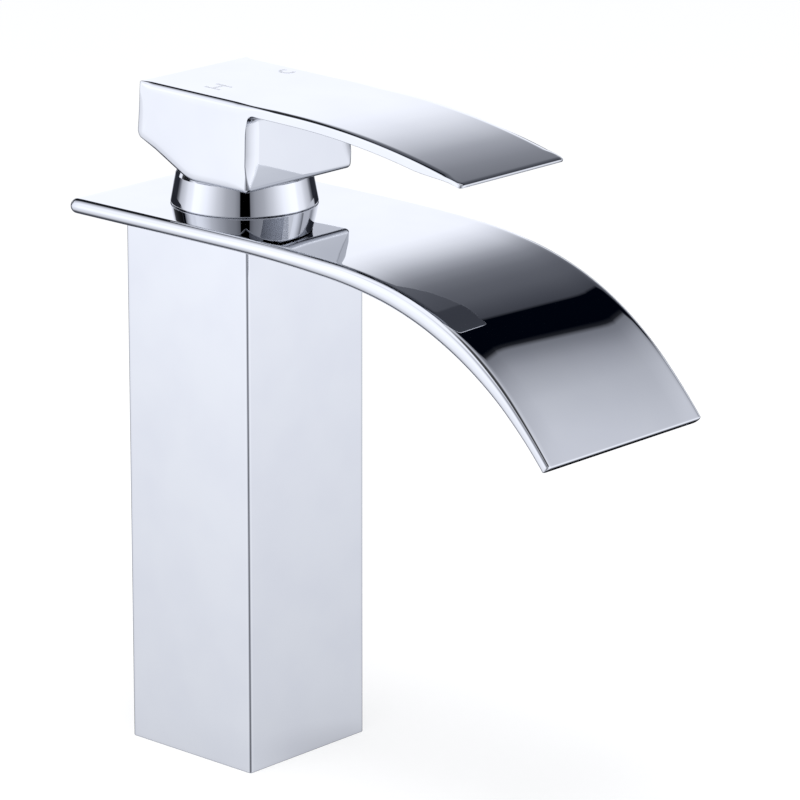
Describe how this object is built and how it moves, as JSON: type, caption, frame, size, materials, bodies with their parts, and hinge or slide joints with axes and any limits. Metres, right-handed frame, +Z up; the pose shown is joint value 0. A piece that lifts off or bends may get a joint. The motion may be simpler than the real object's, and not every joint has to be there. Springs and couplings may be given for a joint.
{
  "type": "waterfall basin faucet",
  "caption": "Single-lever basin faucet on a square column, with a wide thin curved spout that pours a sheet of water and a flat lever over a round collar.",
  "frame": {"origin": "centre of the column's foot, on the plane of the basin's top", "axes": "+Z up, -Y the way the spout and the lever point, +X the cold side"},
  "size_m": [0.061, 0.1707, 0.1854],
  "materials": {
    "polished_chrome": "polished chrome plate",
    "brass": "machined",
    "copper_tube": "drawn",
    "steel": "machined stainless",
    "black_rubber": "moulded",
    "white_plastic": "moulded",
    "blue_plastic": "moulded",
    "ceramic": "lapped alumina"
  },
  "bodies": {
    "faucet_body": {"column_shell": "polished_chrome", "spout": "polished_chrome", "valve_body": "brass", "base_block": "brass", "base_gasket": "black_rubber", "hot_riser_tube": "copper_tube", "cold_riser_tube": "copper_tube", "riser_o_rings": "black_rubber", "tie_bolts": "steel", "cartridge_nut": "brass", "dome_collar": "polished_chrome", "collar_o_ring": "black_rubber", "cartridge_housing": "white_plastic", "cartridge_base": "white_plastic", "cartridge_seals": "black_rubber", "ceramic_fixed_disc": "ceramic"},
    "turret": {"cartridge_turret": "blue_plastic", "pivot_pin": "steel"},
    "lever": {"lever_handle": "polished_chrome", "cartridge_stem": "brass", "handle_set_screw": "steel", "set_screw_cap": "polished_chrome"},
    "disc_slider": {"disc_carrier": "white_plastic", "ceramic_moving_disc": "ceramic"}
  },
  "joints": [
    {"name": "temperature_turn", "type": "hinge", "parent": "faucet_body", "child": "turret", "pos_m": [0, 0, 0.149], "axis": [0, 0, 1], "range_deg": [-45, 45]},
    {"name": "lever_lift", "type": "hinge", "parent": "turret", "child": "lever", "pos_m": [0, 0, 0.149], "axis": [-1, 0, 0], "range_deg": [0, 25]},
    {"name": "disc_slide", "type": "slide", "parent": "turret", "child": "disc_slider", "axis": [0, -1, 0], "range_m": [0, 0.0065]}
  ],
  "couplings": [
    {"joint": "disc_slide", "follows": "lever_lift", "m_per_rad": 0.01488}
  ]
}
